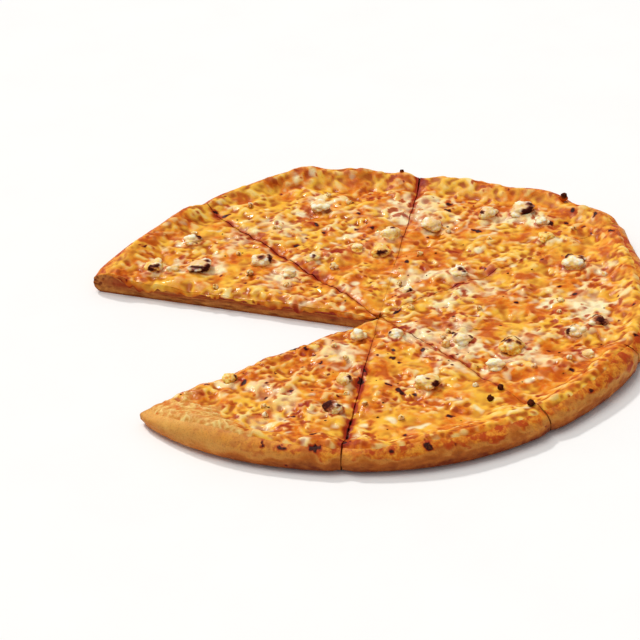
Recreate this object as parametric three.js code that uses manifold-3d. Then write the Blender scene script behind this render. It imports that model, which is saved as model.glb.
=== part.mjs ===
// A baked cheese pizza, cut into eight with one slice taken, so that seven slices keep their places.
//
// Each slice is a wedge of dough with a raised outer rim, a thin sauce layer and a lumpy layer of
// melted cheese that runs out over the rim. Chunks of white cheese sit on top as pieces of their own.
// Smaller crumbs and herb flakes are fused to the melted cheese.
//
// Millimetres, +Z up. The origin is the middle of the round, on its flat underside. Bearings are
// degrees counter-clockwise from +X, and the taken slice was on the -X side.

import * as THREE from "three";
import { mergeVertices } from "three/addons/utils/BufferGeometryUtils.js";
import Module from "manifold-3d";

const wasm = await Module();
wasm.setup();

// ---- Driving dimensions -------------------------------------------------------------------------

const RADIUS = 176.5; // of the round at the widest part of its rim
// Where the rim was pushed in or out, up or down: bearing, spread in degrees, and how far at most.
const HANDLING = [
  { bearing: 27, spread: 7, out: 5, up: 0.5 },
  { bearing: 38, spread: 3, out: -2, up: -1 },
  { bearing: 53, spread: 6, out: -5, up: -0.8 },
  { bearing: 78, spread: 3, out: 1, up: 1.6 },
  { bearing: 102, spread: 4, out: 1, up: 1.6 },
  { bearing: 113, spread: 5, out: -3, up: 0 },
  { bearing: 129, spread: 7, out: 3, up: 0.4 },
  { bearing: 146, spread: 16, out: 6, up: 0.4 },
  { bearing: 165, spread: 8, out: 6, up: 0.6 },
  { bearing: 217, spread: 8, out: -1, up: -8.5 },
];

const CUT_CENTRE = { x: 6, y: -18 }; // where the cutter's strokes cross
// The strokes, each with how far the cheese sags beside it. The last one is the first again.
const STROKES = [
  { bearing: -23, sag: 0.4 },
  { bearing: 31, sag: 1.0 },
  { bearing: 78, sag: 1.3 },
  { bearing: 124, sag: 1.3 },
  { bearing: 157, sag: 1.8 },
  { bearing: 211, sag: 1.8 },
  { bearing: 259, sag: 1.3 },
  { bearing: 305, sag: 1.2 },
  { bearing: 337, sag: 0.4 },
];
const TAKEN_SLICE = 4; // between 157 and 211 degrees
const CUT_WIDTH = 1.0;
const CUT_CORNER = { depth: 1.6, spread: 5 }; // the rim is rounded off beside a stroke
const CUT_PINCH = { share: 0.2, spread: 9 }; // and pressed down there
const TIP_BLUNTNESS = 3; // from where the strokes cross to the blunt point of a slice

const CRUMB_HEIGHT = 6.8; // of the dough under the sauce
const RIM_TOP = 16.2; // of the dough at the crest of the rim
const SAUCE_THICKNESS = 1.2;
const CHEESE_THICKNESS = 3.6;
const LAYER_GAP = 0.3; // between neighbouring pieces

// The outer wall, from its foot to just below the cheese: distance in from the widest part, and height.
const WALL = [
  { inset: 4.5, height: 0 },
  { inset: 0.9, height: 2.6 },
  { inset: 0, height: 6.4 },
  { inset: 0.7, height: 10.2 },
  { inset: 3.0, height: 13.4 },
];
// The top of the dough from the rim inwards: distance in from the widest part, and height.
const RIM = [
  { inset: 6.5, height: 15.6 },
  { inset: 9.5, height: RIM_TOP },
  { inset: 13, height: 15.0 },
  { inset: 17, height: 11.8 },
  { inset: 21, height: 8.6 },
  { inset: 25, height: CRUMB_HEIGHT },
];
const SAUCE_INSET = RIM[5].inset; // the sauce stops where the rim starts to rise
// The cheese's outer edge: how far up it lies from the wall to the rim's first row, and its thickness.
const CHEESE_EDGE = { share: 0.3, ripple: 0.25, inset: 4, thickness: 1.1, clearance: 0.5 };

const FACET_ANGLE = 4.2; // degrees of a slice that one facet spans
const ALONG = 12; // facets of cheese from the tip to the rim
const SHOULDER = 0.035; // how far in from a cut face the cheese sags, as a share of the slice

// Chunks of white cheese: bearing and distance from the cutter's crossing, and width.
const CHUNKS = [
  { bearing: -18, out: 121, width: 13 },
  { bearing: -13, out: 133, width: 12 },
  { bearing: 20, out: 132, width: 17 },
  { bearing: 36, out: 137, width: 11 },
  { bearing: 39, out: 67, width: 12 },
  { bearing: 43, out: 151, width: 9 },
  { bearing: 50, out: 155, width: 16 },
  { bearing: 57, out: 143, width: 13 },
  { bearing: 56, out: 31, width: 9 },
  { bearing: 70, out: 113, width: 13 },
  { bearing: 83, out: 99, width: 13 },
  { bearing: 86, out: 77, width: 12 },
  { bearing: 97, out: 84, width: 9 },
  { bearing: 102, out: 147, width: 13 },
  { bearing: 117, out: 84, width: 11 },
  { bearing: 133, out: 103, width: 15 },
  { bearing: 133, out: 79, width: 9 },
  { bearing: 136, out: 158, width: 12 },
  { bearing: 147, out: 130, width: 16 },
  { bearing: 151, out: 159, width: 13 },
  { bearing: 150, out: 146, width: 9 },
  { bearing: 215, out: 112, width: 9 },
  { bearing: 253, out: 110, width: 13 },
  { bearing: 252, out: 80, width: 11 },
  { bearing: 240, out: 28, width: 11 },
  { bearing: 285, out: 90, width: 15 },
  { bearing: 287, out: 29, width: 9 },
  { bearing: 312, out: 97, width: 11 },
  { bearing: 321, out: 61, width: 13 },
  { bearing: 326, out: 91, width: 17 },
  { bearing: 332, out: 135, width: 8 },
];
const CHUNK_SQUASH = 0.62; // height over width
const CHUNK_SUNK = 0.34; // share of a chunk's height that is under the cheese's surface
const CHUNK_RAGGED = 0.2; // how far its corners stray, as a share of its half width

// Scorched bits that stand on the rim: bearing from the cutter's crossing, distance in, and half width.
const CINDERS = [
  { bearing: 45, inset: 9, halfWidth: 3.0 },
  { bearing: 82, inset: 9, halfWidth: 1.8 },
];
const CINDER_SQUASH = 1.1;

const CRUMB = { count: 5, least: 2.0, most: 2.9, flatness: 0.8, seed: 4100 }; // half width, fused
const FLAKE = { count: 7, least: 1.1, most: 1.6, narrowness: 0.7, flatness: 0.5, seed: 5200 };
const SLIVER = 0.05; // facets narrower than this are merged
const CHUNK_SEED = 6300;
const CINDER_SEED = 7400;

const COLOURS = {
  crust: 0xd39a52,
  sauce: 0xa8391c,
  cheese: 0xe2a04a,
  feta: 0xf3e9cf,
};

// ---- Small helpers ------------------------------------------------------------------------------

const radians = (angle) => (angle * Math.PI) / 180;
const degrees = (angle) => (angle * 180) / Math.PI;
const lerp = (a, b, t) => a + (b - a) * t;
const clamp01 = (t) => Math.min(1, Math.max(0, t));
const smooth = (t) => clamp01(t) ** 2 * (3 - 2 * clamp01(t));

const polar = (from, bearing, out) => ({
  x: from.x + Math.cos(radians(bearing)) * out,
  y: from.y + Math.sin(radians(bearing)) * out,
});

// A repeatable stream of numbers from 0 to 1.
function stream(seed) {
  let state = seed;
  return () => {
    state = (state * 16807) % 2147483647;
    return state / 2147483647;
  };
}

// ---- The shape of the round ---------------------------------------------------------------------

// How far the rim was pushed at a bearing: outwards or upwards.
function handled(bearing, way) {
  let total = 0;
  for (const push of HANDLING) {
    const apart = THREE.MathUtils.euclideanModulo(bearing - push.bearing + 180, 360) - 180;
    total += push[way] * Math.exp(-((apart / push.spread) ** 2));
  }
  return total;
}

// A hand-stretched round isn't a true circle.
function outlineRadius(bearing) {
  const t = radians(bearing);
  const round = 1 + 0.015 * Math.sin(4 * t) - 0.017 * Math.cos(5 * t) - 0.011 * Math.sin(6 * t);
  return RADIUS * round + handled(bearing, "out");
}

// Distance from a point to the outline, going in one direction.
function reach(from, bearing) {
  const dx = Math.cos(radians(bearing));
  const dy = Math.sin(radians(bearing));
  let distance = RADIUS;
  for (let step = 0; step < 30; step++) {
    const x = from.x + dx * distance;
    const y = from.y + dy * distance;
    distance += outlineRadius(degrees(Math.atan2(y, x))) - Math.hypot(x, y);
  }
  return distance;
}

// How far the rim's rows lie from the edge, as a multiple of the nominal distances.
function rimWidth(bearing) {
  const t = radians(bearing);
  return 1 + 0.1 * Math.sin(5 * t + 0.6) + 0.08 * Math.sin(11 * t + 2.1);
}

// How far the rim rises above the dough's middle, as a share of the nominal rise.
function rimLift(bearing) {
  const t = radians(bearing);
  const rolling = 0.08 * Math.sin(3 * t + 2.6) + 0.07 * Math.sin(8 * t + 0.4) + 0.06 * Math.sin(17 * t);
  return 1 + rolling + handled(bearing, "up") / (RIM_TOP - CRUMB_HEIGHT);
}

// The cheese's edge wanders up and down the rim.
function cheeseEdge(bearing) {
  const t = radians(bearing);
  return CHEESE_EDGE.share + CHEESE_EDGE.ripple * (0.6 * Math.sin(9 * t + 1) + 0.4 * Math.sin(23 * t + 2));
}

// Slow swells in the melted cheese, in millimetres.
function swell(x, y) {
  return (
    0.42 * Math.sin(0.115 * x + 0.061 * y + 1.3) +
    0.38 * Math.sin(-0.083 * x + 0.137 * y + 4.1) +
    0.3 * Math.sin(0.21 * x - 0.168 * y + 2.2) +
    0.26 * Math.sin(0.153 * x + 0.246 * y + 0.5)
  );
}

// ---- One slice ----------------------------------------------------------------------------------

function makeSlice(number, from, to) {
  const opening = radians(to.bearing - from.bearing);
  const setBack = CUT_WIDTH / 2 / Math.sin(opening / 2);
  const apex = polar(CUT_CENTRE, (from.bearing + to.bearing) / 2, setBack);
  const inner = Math.round((to.bearing - from.bearing) / FACET_ANGLE) - 2;
  const shares = [0];
  for (let j = 0; j <= inner; j++) shares.push(lerp(SHOULDER, 1 - SHOULDER, j / inner));
  shares.push(1);
  const rays = shares.map((share) => makeRay(apex, from, to, share));
  return { number, from, to, apex, rays };
}

// One direction out from a slice's point, with what the rim does there.
function makeRay(apex, from, to, share) {
  const bearing = lerp(from.bearing, to.bearing, share);
  const full = reach(apex, bearing);
  const rim = polar(apex, bearing, full);
  const around = degrees(Math.atan2(rim.y, rim.x));
  const toCut = full * Math.sin(radians(Math.min(bearing - from.bearing, to.bearing - bearing)));
  const pinch = 1 - CUT_PINCH.share * Math.exp(-((toCut / CUT_PINCH.spread) ** 2));
  return {
    bearing,
    length: full - CUT_CORNER.depth * Math.exp(-((toCut / CUT_CORNER.spread) ** 2)),
    width: rimWidth(around),
    lift: rimLift(around) * pinch,
    edge: cheeseEdge(around),
    sag: share === 0 ? from.sag : share === 1 ? to.sag : 0,
  };
}

// A point of a slice: how far out along a ray, and how high.
function place(slice, ray, out, height) {
  const { x, y } = polar(slice.apex, ray.bearing, out);
  return new THREE.Vector3(x, y, height);
}

const outAt = (ray, inset) => ray.length - inset * ray.width;
const lifted = (ray, height) => height + Math.max(0, height - CRUMB_HEIGHT) * (ray.lift - 1);

// Joins one closed outline per ray, each a list of {out, height}, into a solid with flat ends.
function loft(slice, outlines) {
  const count = outlines[0].length;
  const positions = [];
  outlines.forEach((outline, j) =>
    outline.forEach(({ out, height }) => positions.push(...place(slice, slice.rays[j], out, height).toArray())),
  );
  const index = [];
  for (let j = 0; j + 1 < outlines.length; j++)
    for (let k = 0; k < count; k++) {
      const next = (k + 1) % count;
      const a = j * count + k;
      const b = j * count + next;
      index.push(a, b, b + count, a, b + count, a + count);
    }
  const last = (outlines.length - 1) * count;
  for (const [start, outline, flip] of [
    [0, outlines[0], true],
    [last, outlines[outlines.length - 1], false],
  ]) {
    const flat = outline.map(({ out, height }) => new THREE.Vector2(out, height));
    const clockwise = THREE.ShapeUtils.isClockWise(flat);
    for (const [a, b, c] of THREE.ShapeUtils.triangulateShape(flat, []))
      index.push(start + a, ...(flip !== clockwise ? [start + c, start + b] : [start + b, start + c]));
  }
  const geometry = new THREE.BufferGeometry();
  geometry.setAttribute("position", new THREE.Float32BufferAttribute(positions, 3));
  geometry.setIndex(index);
  return facingOut(geometry);
}

// Turns the faces round where they point inwards.
function facingOut(geometry) {
  const p = geometry.getAttribute("position");
  const index = geometry.getIndex().array;
  const corner = [new THREE.Vector3(), new THREE.Vector3(), new THREE.Vector3()];
  let volume = 0;
  for (let i = 0; i < index.length; i += 3) {
    corner.forEach((c, k) => c.fromBufferAttribute(p, index[i + k]));
    volume += corner[0].dot(corner[1].clone().cross(corner[2]));
  }
  if (volume < 0) for (let i = 0; i < index.length; i += 3) [index[i + 1], index[i + 2]] = [index[i + 2], index[i + 1]];
  return geometry;
}

// The dough: flat below, a bulging wall, a crest, and a level middle.
function crustOutline(ray) {
  const wall = WALL.map(({ inset, height }) => ({ out: ray.length - inset, height: lifted(ray, height) }));
  const rim = RIM.map(({ inset, height }) => ({ out: outAt(ray, inset), height: lifted(ray, height) }));
  return [
    { out: TIP_BLUNTNESS, height: 0 },
    ...wall,
    ...rim,
    { out: TIP_BLUNTNESS, height: CRUMB_HEIGHT },
  ];
}

function sauceOutline(ray) {
  const end = outAt(ray, SAUCE_INSET);
  const bottom = CRUMB_HEIGHT + LAYER_GAP;
  const top = bottom + SAUCE_THICKNESS;
  return [
    { out: TIP_BLUNTNESS, height: bottom },
    { out: end, height: bottom },
    { out: end, height: top },
    { out: TIP_BLUNTNESS, height: top },
  ];
}

// The rows of the cheese from its outer edge inwards, with the height of its underside. It follows
// the top of the rim, then steps up on to the sauce.
function cheeseRows(ray) {
  const foot = WALL[WALL.length - 1];
  const wallTop = { out: ray.length - foot.inset, floor: lifted(ray, foot.height) };
  const overSauce = SAUCE_THICKNESS + LAYER_GAP;
  const rows = RIM.map(({ inset, height }) => {
    const clearance = LAYER_GAP + overSauce * smooth((inset - RIM[2].inset) / (SAUCE_INSET - RIM[2].inset));
    return { out: outAt(ray, inset), floor: lifted(ray, height) + clearance };
  });
  const edge = {
    out: lerp(wallTop.out, rows[0].out, ray.edge),
    floor: lerp(wallTop.floor, rows[0].floor - LAYER_GAP, ray.edge) + CHEESE_EDGE.clearance,
  };
  return [edge, ...rows];
}

// Thinner over the rim and at the tip, and sagging beside a cut.
function cheeseThickness(slice, ray, out) {
  const inset = (ray.length - out) / ray.width;
  const overRim = lerp(CHEESE_EDGE.thickness, CHEESE_THICKNESS, smooth((inset - CHEESE_EDGE.inset) / 24));
  const nearTip = lerp(0.8, 1, smooth(out / 25));
  const { x, y } = place(slice, ray, out, 0);
  const body = overRim * nearTip + swell(x, y) * smooth((inset - 4) / 16) - ray.sag * smooth(inset / 20);
  return Math.max(0.8, body);
}

function cheeseOutline(slice, ray) {
  const rows = cheeseRows(ray);
  const middle = rows[rows.length - 1];
  const below = [{ out: TIP_BLUNTNESS, height: middle.floor }];
  for (const row of [...rows].reverse()) below.push({ out: row.out, height: row.floor });
  const above = rows.map(({ out, floor }) => ({ out, height: floor + cheeseThickness(slice, ray, out) }));
  for (let i = 1; i <= ALONG; i++) {
    const out = lerp(middle.out, TIP_BLUNTNESS, i / ALONG);
    above.push({ out, height: middle.floor + cheeseThickness(slice, ray, out) });
  }
  return [...below, ...above];
}

// ---- What lies on the cheese --------------------------------------------------------------------

function solidOf(geometry) {
  const bare = geometry.clone();
  for (const name of ["normal", "uv"]) bare.deleteAttribute(name);
  const merged = mergeVertices(bare, 1e-4);
  return new wasm.Manifold(
    new wasm.Mesh({
      numProp: 3,
      vertProperties: new Float32Array(merged.getAttribute("position").array),
      triVerts: new Uint32Array(merged.getIndex().array),
    }),
  );
}

function geometryOf(solid) {
  const { numProp, vertProperties, triVerts } = solid.getMesh();
  const positions = [];
  for (let i = 0; i < vertProperties.length; i += numProp) positions.push(...vertProperties.slice(i, i + 3));
  const geometry = new THREE.BufferGeometry();
  geometry.setAttribute("position", new THREE.Float32BufferAttribute(positions, 3));
  geometry.setIndex([...triVerts]);
  return geometry;
}

const largest = (solid) => solid.decompose().sort((a, b) => b.volume() - a.volume())[0];

// The height of a slice's cheese above a point, found by looking straight down on it.
function surfaceHeight(geometry, x, y) {
  const mesh = new THREE.Mesh(geometry, new THREE.MeshBasicMaterial({ side: THREE.DoubleSide }));
  const down = new THREE.Raycaster(new THREE.Vector3(x, y, 100), new THREE.Vector3(0, 0, -1));
  const hits = down.intersectObject(mesh);
  return hits.length ? hits[0].point.z : null;
}

// A ragged lump: a ball whose corners stray in and out, pressed flat and turned.
function lump(halfWidth, flatness, detail, ragged, random) {
  const ball = new THREE.IcosahedronGeometry(halfWidth, detail);
  for (const name of ["normal", "uv"]) ball.deleteAttribute(name);
  const merged = mergeVertices(ball, 1e-4);
  const p = merged.getAttribute("position");
  for (let i = 0; i < p.count; i++) {
    const scale = 1 + ragged * (2 * random() - 1);
    p.setXYZ(i, p.getX(i) * scale, p.getY(i) * scale, p.getZ(i) * scale * flatness);
  }
  merged.rotateZ(2 * Math.PI * random());
  return merged;
}

// Places for small bits: clear of the cuts, the rim, the chunks and each other.
function scatter(slice, taken, { count, least, most, seed }) {
  const random = stream(seed + slice.number);
  const found = [];
  for (let attempt = 0; attempt < 400 && found.length < count; attempt++) {
    const bearing = lerp(slice.from.bearing, slice.to.bearing, random());
    const out = RADIUS * Math.sqrt(random());
    const halfWidth = lerp(least, most, random());
    const spot = { ...polar(CUT_CENTRE, bearing, out), halfWidth };
    const fromCut = Math.min(bearing - slice.from.bearing, slice.to.bearing - bearing);
    const clearOfCuts = out * Math.sin(radians(fromCut)) > halfWidth + 2.5;
    const clearOfRim = reach(CUT_CENTRE, bearing) - out > 24 + halfWidth;
    const apart = (other) => Math.hypot(other.x - spot.x, other.y - spot.y) - other.halfWidth - halfWidth;
    if (!clearOfCuts || !clearOfRim || !taken.every((other) => apart(other) > 2)) continue;
    found.push(spot);
    taken.push(spot);
  }
  return found;
}

const isInside = (slice, bearing) => bearing > slice.from.bearing && bearing < slice.to.bearing;

// ---- The whole pizza ----------------------------------------------------------------------------

const materials = {
  crust: new THREE.MeshStandardMaterial({ color: COLOURS.crust, roughness: 0.75, metalness: 0 }),
  sauce: new THREE.MeshStandardMaterial({ color: COLOURS.sauce, roughness: 0.4, metalness: 0 }),
  cheese: new THREE.MeshStandardMaterial({ color: COLOURS.cheese, roughness: 0.35, metalness: 0 }),
  feta: new THREE.MeshStandardMaterial({ color: COLOURS.feta, roughness: 0.6, metalness: 0 }),
};
const pizza = new THREE.Group();

function addPiece(name, geometry, material) {
  const mesh = new THREE.Mesh(geometry, material);
  mesh.name = name;
  pizza.add(mesh);
}

// The melted cheese, with its small crumbs, herb flakes and scorched bits fused on.
function makeCheese(slice, sheet, ownChunks) {
  const taken = ownChunks.map(({ x, y, halfWidth }) => ({ x, y, halfWidth }));
  let cheese = solidOf(sheet);
  scatter(slice, taken, CRUMB).forEach(({ x, y, halfWidth }, i) => {
    const crumb = lump(halfWidth, CRUMB.flatness, 0, CHUNK_RAGGED, stream(CRUMB.seed + 100 * slice.number + i));
    crumb.translate(x, y, surfaceHeight(sheet, x, y) + 0.25 * halfWidth);
    cheese = cheese.add(solidOf(crumb));
  });
  scatter(slice, taken, FLAKE).forEach(({ x, y, halfWidth }, i) => {
    const flake = new THREE.OctahedronGeometry(halfWidth);
    flake.scale(1, FLAKE.narrowness, FLAKE.flatness);
    flake.rotateZ(2.4 * i);
    flake.translate(x, y, surfaceHeight(sheet, x, y) + 0.1);
    cheese = cheese.add(solidOf(flake));
  });
  for (const cinder of CINDERS.filter((bit) => isInside(slice, bit.bearing))) {
    const body = lump(cinder.halfWidth, CINDER_SQUASH, 0, CHUNK_RAGGED, stream(CINDER_SEED));
    const { x, y } = polar(CUT_CENTRE, cinder.bearing, reach(CUT_CENTRE, cinder.bearing) - cinder.inset);
    body.translate(x, y, surfaceHeight(sheet, x, y) + (CINDER_SQUASH - 0.25) * cinder.halfWidth);
    cheese = cheese.add(solidOf(body));
  }
  return geometryOf(largest(cheese));
}

// A chunk of white cheese, pressed into the melted cheese but a hair clear of it.
function makeChunk(chunk, sheet, underneath) {
  const body = lump(chunk.halfWidth, CHUNK_SQUASH, 1, CHUNK_RAGGED, stream(CHUNK_SEED + chunk.number));
  const rise = chunk.width * CHUNK_SQUASH * (0.5 - CHUNK_SUNK);
  body.translate(chunk.x, chunk.y, surfaceHeight(sheet, chunk.x, chunk.y) + rise);
  return geometryOf(largest(solidOf(body).subtract(underneath)).simplify(SLIVER));
}

const chunks = CHUNKS.map((chunk, i) => ({
  ...chunk,
  ...polar(CUT_CENTRE, chunk.bearing, chunk.out),
  number: i + 1,
  halfWidth: chunk.width / 2,
}));

for (let i = 0; i + 1 < STROKES.length; i++) {
  if (i === TAKEN_SLICE) continue;
  const number = i < TAKEN_SLICE ? i + 1 : i;
  const slice = makeSlice(number, STROKES[i], STROKES[i + 1]);
  const ownChunks = chunks.filter((chunk) => isInside(slice, chunk.bearing));
  const sheet = loft(slice, slice.rays.map((ray) => cheeseOutline(slice, ray)));
  addPiece("crust_" + slice.number, loft(slice, slice.rays.map(crustOutline)), materials.crust);
  addPiece("sauce_" + slice.number, loft(slice, slice.rays.map(sauceOutline)), materials.sauce);
  addPiece("cheese_" + slice.number, makeCheese(slice, sheet, ownChunks), materials.cheese);

  const underneath = solidOf(sheet).translate([0, 0, LAYER_GAP]);
  for (const chunk of ownChunks) {
    const name = "feta_" + String(chunk.number).padStart(2, "0");
    addPiece(name, makeChunk(chunk, sheet, underneath), materials.feta);
  }
}

export default pizza;
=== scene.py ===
"""Looks of a baked cheese pizza, cut into eight with one slice taken.

The layers are modelled again at a fine grain from the same named sizes as the solids that they replace:
the dough with its pores, the melted cheese with its shreds, browning and scorch marks, and the chunks
of white cheese. Lengths are in millimetres until a mesh is made, and bearings in degrees.
"""

import math
from types import SimpleNamespace

import bpy
import numpy as np
from mathutils import Matrix, Vector


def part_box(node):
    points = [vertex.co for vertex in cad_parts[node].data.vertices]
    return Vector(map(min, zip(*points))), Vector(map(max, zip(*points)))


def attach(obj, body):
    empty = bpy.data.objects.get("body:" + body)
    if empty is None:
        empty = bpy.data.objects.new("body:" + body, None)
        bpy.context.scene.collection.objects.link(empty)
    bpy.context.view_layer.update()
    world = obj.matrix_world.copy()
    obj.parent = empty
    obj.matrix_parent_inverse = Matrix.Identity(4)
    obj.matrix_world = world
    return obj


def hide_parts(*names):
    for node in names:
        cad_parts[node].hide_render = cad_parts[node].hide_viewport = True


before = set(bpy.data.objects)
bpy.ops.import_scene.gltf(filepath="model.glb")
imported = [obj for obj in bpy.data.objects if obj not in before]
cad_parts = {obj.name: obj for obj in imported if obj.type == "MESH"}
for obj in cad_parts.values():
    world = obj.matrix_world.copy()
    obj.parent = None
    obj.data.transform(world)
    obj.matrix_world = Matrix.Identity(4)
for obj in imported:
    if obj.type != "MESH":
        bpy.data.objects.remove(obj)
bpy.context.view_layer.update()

MM = 0.001

# ---- Sizes shared with the solids ----

RADIUS = 176.5
# Where the rim was pushed: bearing, spread in degrees, outwards, upwards.
HANDLING = [
    (27, 7, 5, 0.5), (38, 3, -2, -1), (53, 6, -5, -0.8), (78, 3, 1, 1.6), (102, 4, 1, 1.6),
    (113, 5, -3, 0), (129, 7, 3, 0.4), (146, 16, 6, 0.4), (165, 8, 6, 0.6), (217, 8, -1, -8.5),
]
CUT_CENTRE = (6.0, -18.0)
# The strokes: bearing, and how far the cheese sags beside it. The last one is the first again.
STROKES = [
    (-23, 0.4), (31, 1.0), (78, 1.3), (124, 1.3), (157, 1.8), (211, 1.8), (259, 1.3),
    (305, 1.2), (337, 0.4),
]
TAKEN_SLICE = 4
CUT_WIDTH = 1.0
CUT_CORNER = (1.6, 5.0)  # depth, spread
CUT_PINCH = (0.2, 9.0)  # share, spread
TIP_BLUNTNESS = 3.0
MELTED_TIP = 0.9  # the cheese has run together where the slices meet
CRUMB_HEIGHT = 6.8
RIM_TOP = 16.2
SAUCE_THICKNESS = 1.2
CHEESE_THICKNESS = 3.6
THINNEST_CHEESE = 0.8
FULL_THICKNESS_WIDTH = 24  # from the cheese's edge in to where it has its full thickness
TIP_THINNING = (0.8, 25)  # share at the tip, and how far out it ends
SWELL_FADE = (4, 16)  # distance in from the outline where the cheese's waves start, and over what width
SAG_FADE = 20  # over how far in from the outline a sag beside a cut grows
LAYER_GAP = 0.3
# The outer wall and the top of the rim: distance in from the widest part, and height.
WALL = [(4.5, 0.0), (0.9, 2.6), (0.0, 6.4), (0.7, 10.2), (3.0, 13.4)]
WIDEST = 2  # which point of the wall is its widest part
RIM = [(6.5, 15.6), (9.5, RIM_TOP), (13.0, 15.0), (17.0, 11.8), (21.0, 8.6), (25.0, CRUMB_HEIGHT)]
CHEESE_EDGE = SimpleNamespace(share=0.3, ripple=0.25, inset=4.0, thickness=1.1)

# ---- Sizes of the looks ----

# How plainly each cut shows, at the middle, a third, two thirds and all of the way out.
CUT_SHOWS = {
    -23: (0.2, 0.0, 0.1, 0.6), 31: (0.3, 0.8, 0.2, 0.1), 78: (0.1, 0.2, 0.7, 1.4),
    124: (0.4, 1.0, 1.0, 0.8), 157: (1.0, 1.0, 1.0, 1.0), 211: (1.0, 1.0, 1.0, 1.0),
    259: (0.2, 0.7, 1.4, 1.6), 305: (0.5, 0.7, 0.3, 0.4), 337: (0.2, 0.0, 0.1, 0.6),
}
GRAIN = 1.0  # between neighbouring points of the cheese on a ray
RAY_SPREAD = 1.1  # between neighbouring rays, at the rim
BESIDE_CUT = 0.04  # degrees from a cut to the ray right beside it
LEVEL_STATIONS = 34  # points along the level middle of the dough
WALL_STATIONS = 34  # and along its wall, below and above the widest part
DRAPE_ROWS = 9  # steps up a cut face of the cheese
CRUMB_ROWS = 12  # and of the dough
PLAN_HALF = 192.0  # half the width of the plan that colours and relief are drawn on
PLAN_STEP = 0.5
SHREDS = 2600
SHRED_LENGTH = (4, 12)  # half the length, half the width and the height of a shred, least and greatest
SHRED_WIDTH = (0.8, 2.2)
SHRED_HEIGHT = (0.3, 1.0)
SHRED_BEND = 0.035
DARK_SPOTS = (130, 0.8, 2.1, 41)  # how many, least and greatest half width, seed
BROWN_SPOTS = (560, 1.0, 3.4, 42)
CRAGS = [(0.4, 3.5, 51), (0.35, 6, 36), (0.4, 12, 40)]  # of the rim: share, size, seed
RIM_SKIN = (30, 16)  # distance in from the outline where the rim's dry skin ends, and over what width
LIP = 7.0  # width over which the cheese thins out to its outer edge
LIP_SUNK = 0.8  # how far its very edge lies under the dough's skin
LIP_BLUNTNESS = 0.8  # width over which the edge itself is rounded
SHOULDER_SPREAD = 3.0
SKIN_RELIEF = 0.6  # how much of its relief the baked skin has
MELT_FOOT = 9.8  # how far down the wall the melted cheese has stained the dough
MELT_BLUR = 2.8  # height over which the stain ends
MELT_STANDS = 0.9  # how far it stands out from the dough there
CRUMB_SWELL = 0.3  # how far the cut dough swells into a cut
PORE_DEPTH = 0.8
SLOT_BULGE = 1.0  # how far the cheese hangs out over a cut face beside the taken slice
CUT_BULGE = 0.75  # and into the narrow gap of a cut, where it closes it in places
CUT_OPENS = 0.75  # how much of its width a cut keeps where it shows most plainly
SLOT_FULLEST = 0.4  # at what share of its height the hanging cheese stands out most
CUT_FULLEST = 0.86
SLOT_SHADE = 0.6  # painted shade: how much darker and browner the cheese grows towards its foot where it hangs over a cut face
CUT_SHADE = 0.1
HANG = (0.1, 1.9, 4.6)  # how far the cheese hangs down over a cut face: least, middle and greatest
CREEP = (0.9, 2.2)  # how far the cheese creeps up a chunk, and over what width
CURDS = 12  # small round curds in a chunk or a crumb
CURD_PLACE = (0.4, 0.62)  # how far from the chunk's middle they lie, in shares of its radius
CURD_SIZE = (0.3, 0.46)
CURD_CORE = 0.68  # radius of the round core that they stand out from
CURD_SHARPNESS = 30.0  # how sharply one curd meets the next
CHUNK_BURIED = 1.6  # how far a chunk goes on below its solid, into the cheese
BUMP_HEIGHT = 0.45  # how far a point of a solid stands above its cheese to be part of a bump
BUMP_WIDTH = 4.5
FLAKE_LIMIT = 1.5  # fused bits narrower than this are flakes of herb, and the others crumbs
RIM_LIMIT = 20  # bits closer to the outline than this stand on the rim
FLAKE_WIDTH = (0.6, 1.2)  # half of it, least and greatest
# The corner where the cheese stops short of the edge: bearing, spread in degrees, width.
BARE_CORNER = (226, 19, 27)
# Pale patches of melted mozzarella: middle and half width.
PALE_PATCHES = [
    (-56, -106, 17), (-66, -130, 12), (30, 118, 16), (-52, 103, 12), (-12, 14, 10), (134, -24, 13),
    (-78, 100, 12), (-50, 40, 14), (112, 92, 9), (30, -45, 13), (50, -66, 12), (96, -86, 12),
    (60, 5, 8), (-20, -60, 10), (-90, 55, 10), (150, 20, 10),
]
# Dark scorch marks on the cheese: middle, half length, half width and the bearing it runs along.
SCORCH_MARKS = [
    (-55, -57, 2.4, 1.6, 40), (-47, -51, 2.6, 1.5, 0), (-40, -53, 2.8, 1.4, 300),
    (-35, -61, 2.6, 1.3, 310), (-77, -86, 3.6, 1.5, 60), (-50, -100, 2.4, 1.6, 0),
    (13, -108, 4.6, 1.8, 300), (7, -100, 3.0, 1.0, 330), (-38, -150, 3.2, 1.8, 340),
    (-37, -166, 4.0, 2.6, 0), (25, -172, 4.6, 3.0, 310), (-9, -93, 6.0, 2.2, 75), (-6, -84, 4.5, 1.4, 110),
    (11, -69, 2.2, 1.8, 0), (-2, 94, 2.6, 2.2, 0), (7, 93, 2.6, 2.0, 0), (74, 79, 4.4, 1.8, 320),
    (40, 168, 5.0, 3.0, 280), (17, -15, 3.4, 1.4, 40), (-24, 92, 1.8, 1.6, 0), (-87, 127, 3.4, 1.8, 20),
    (-128, 112, 3.0, 1.6, 20), (-144, 26, 4.4, 1.8, 0), (-118, 20, 5.5, 1.6, 10), (-131, 12, 3.4, 1.4, 0),
    (126, -9, 3.0, 1.6, 20), (118, 0, 2.4, 1.2, 30), (90, -14, 2.2, 1.2, 0), (157, 62, 4.0, 1.6, 300),
    (150, 84, 3.0, 1.4, 60),
]
# Round charred bits on the rim and beside it: place and half width.
CHARRED_BITS = [(71, -112, 1.9), (64, -123, 2.1), (86, -137, 2.2)]
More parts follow.
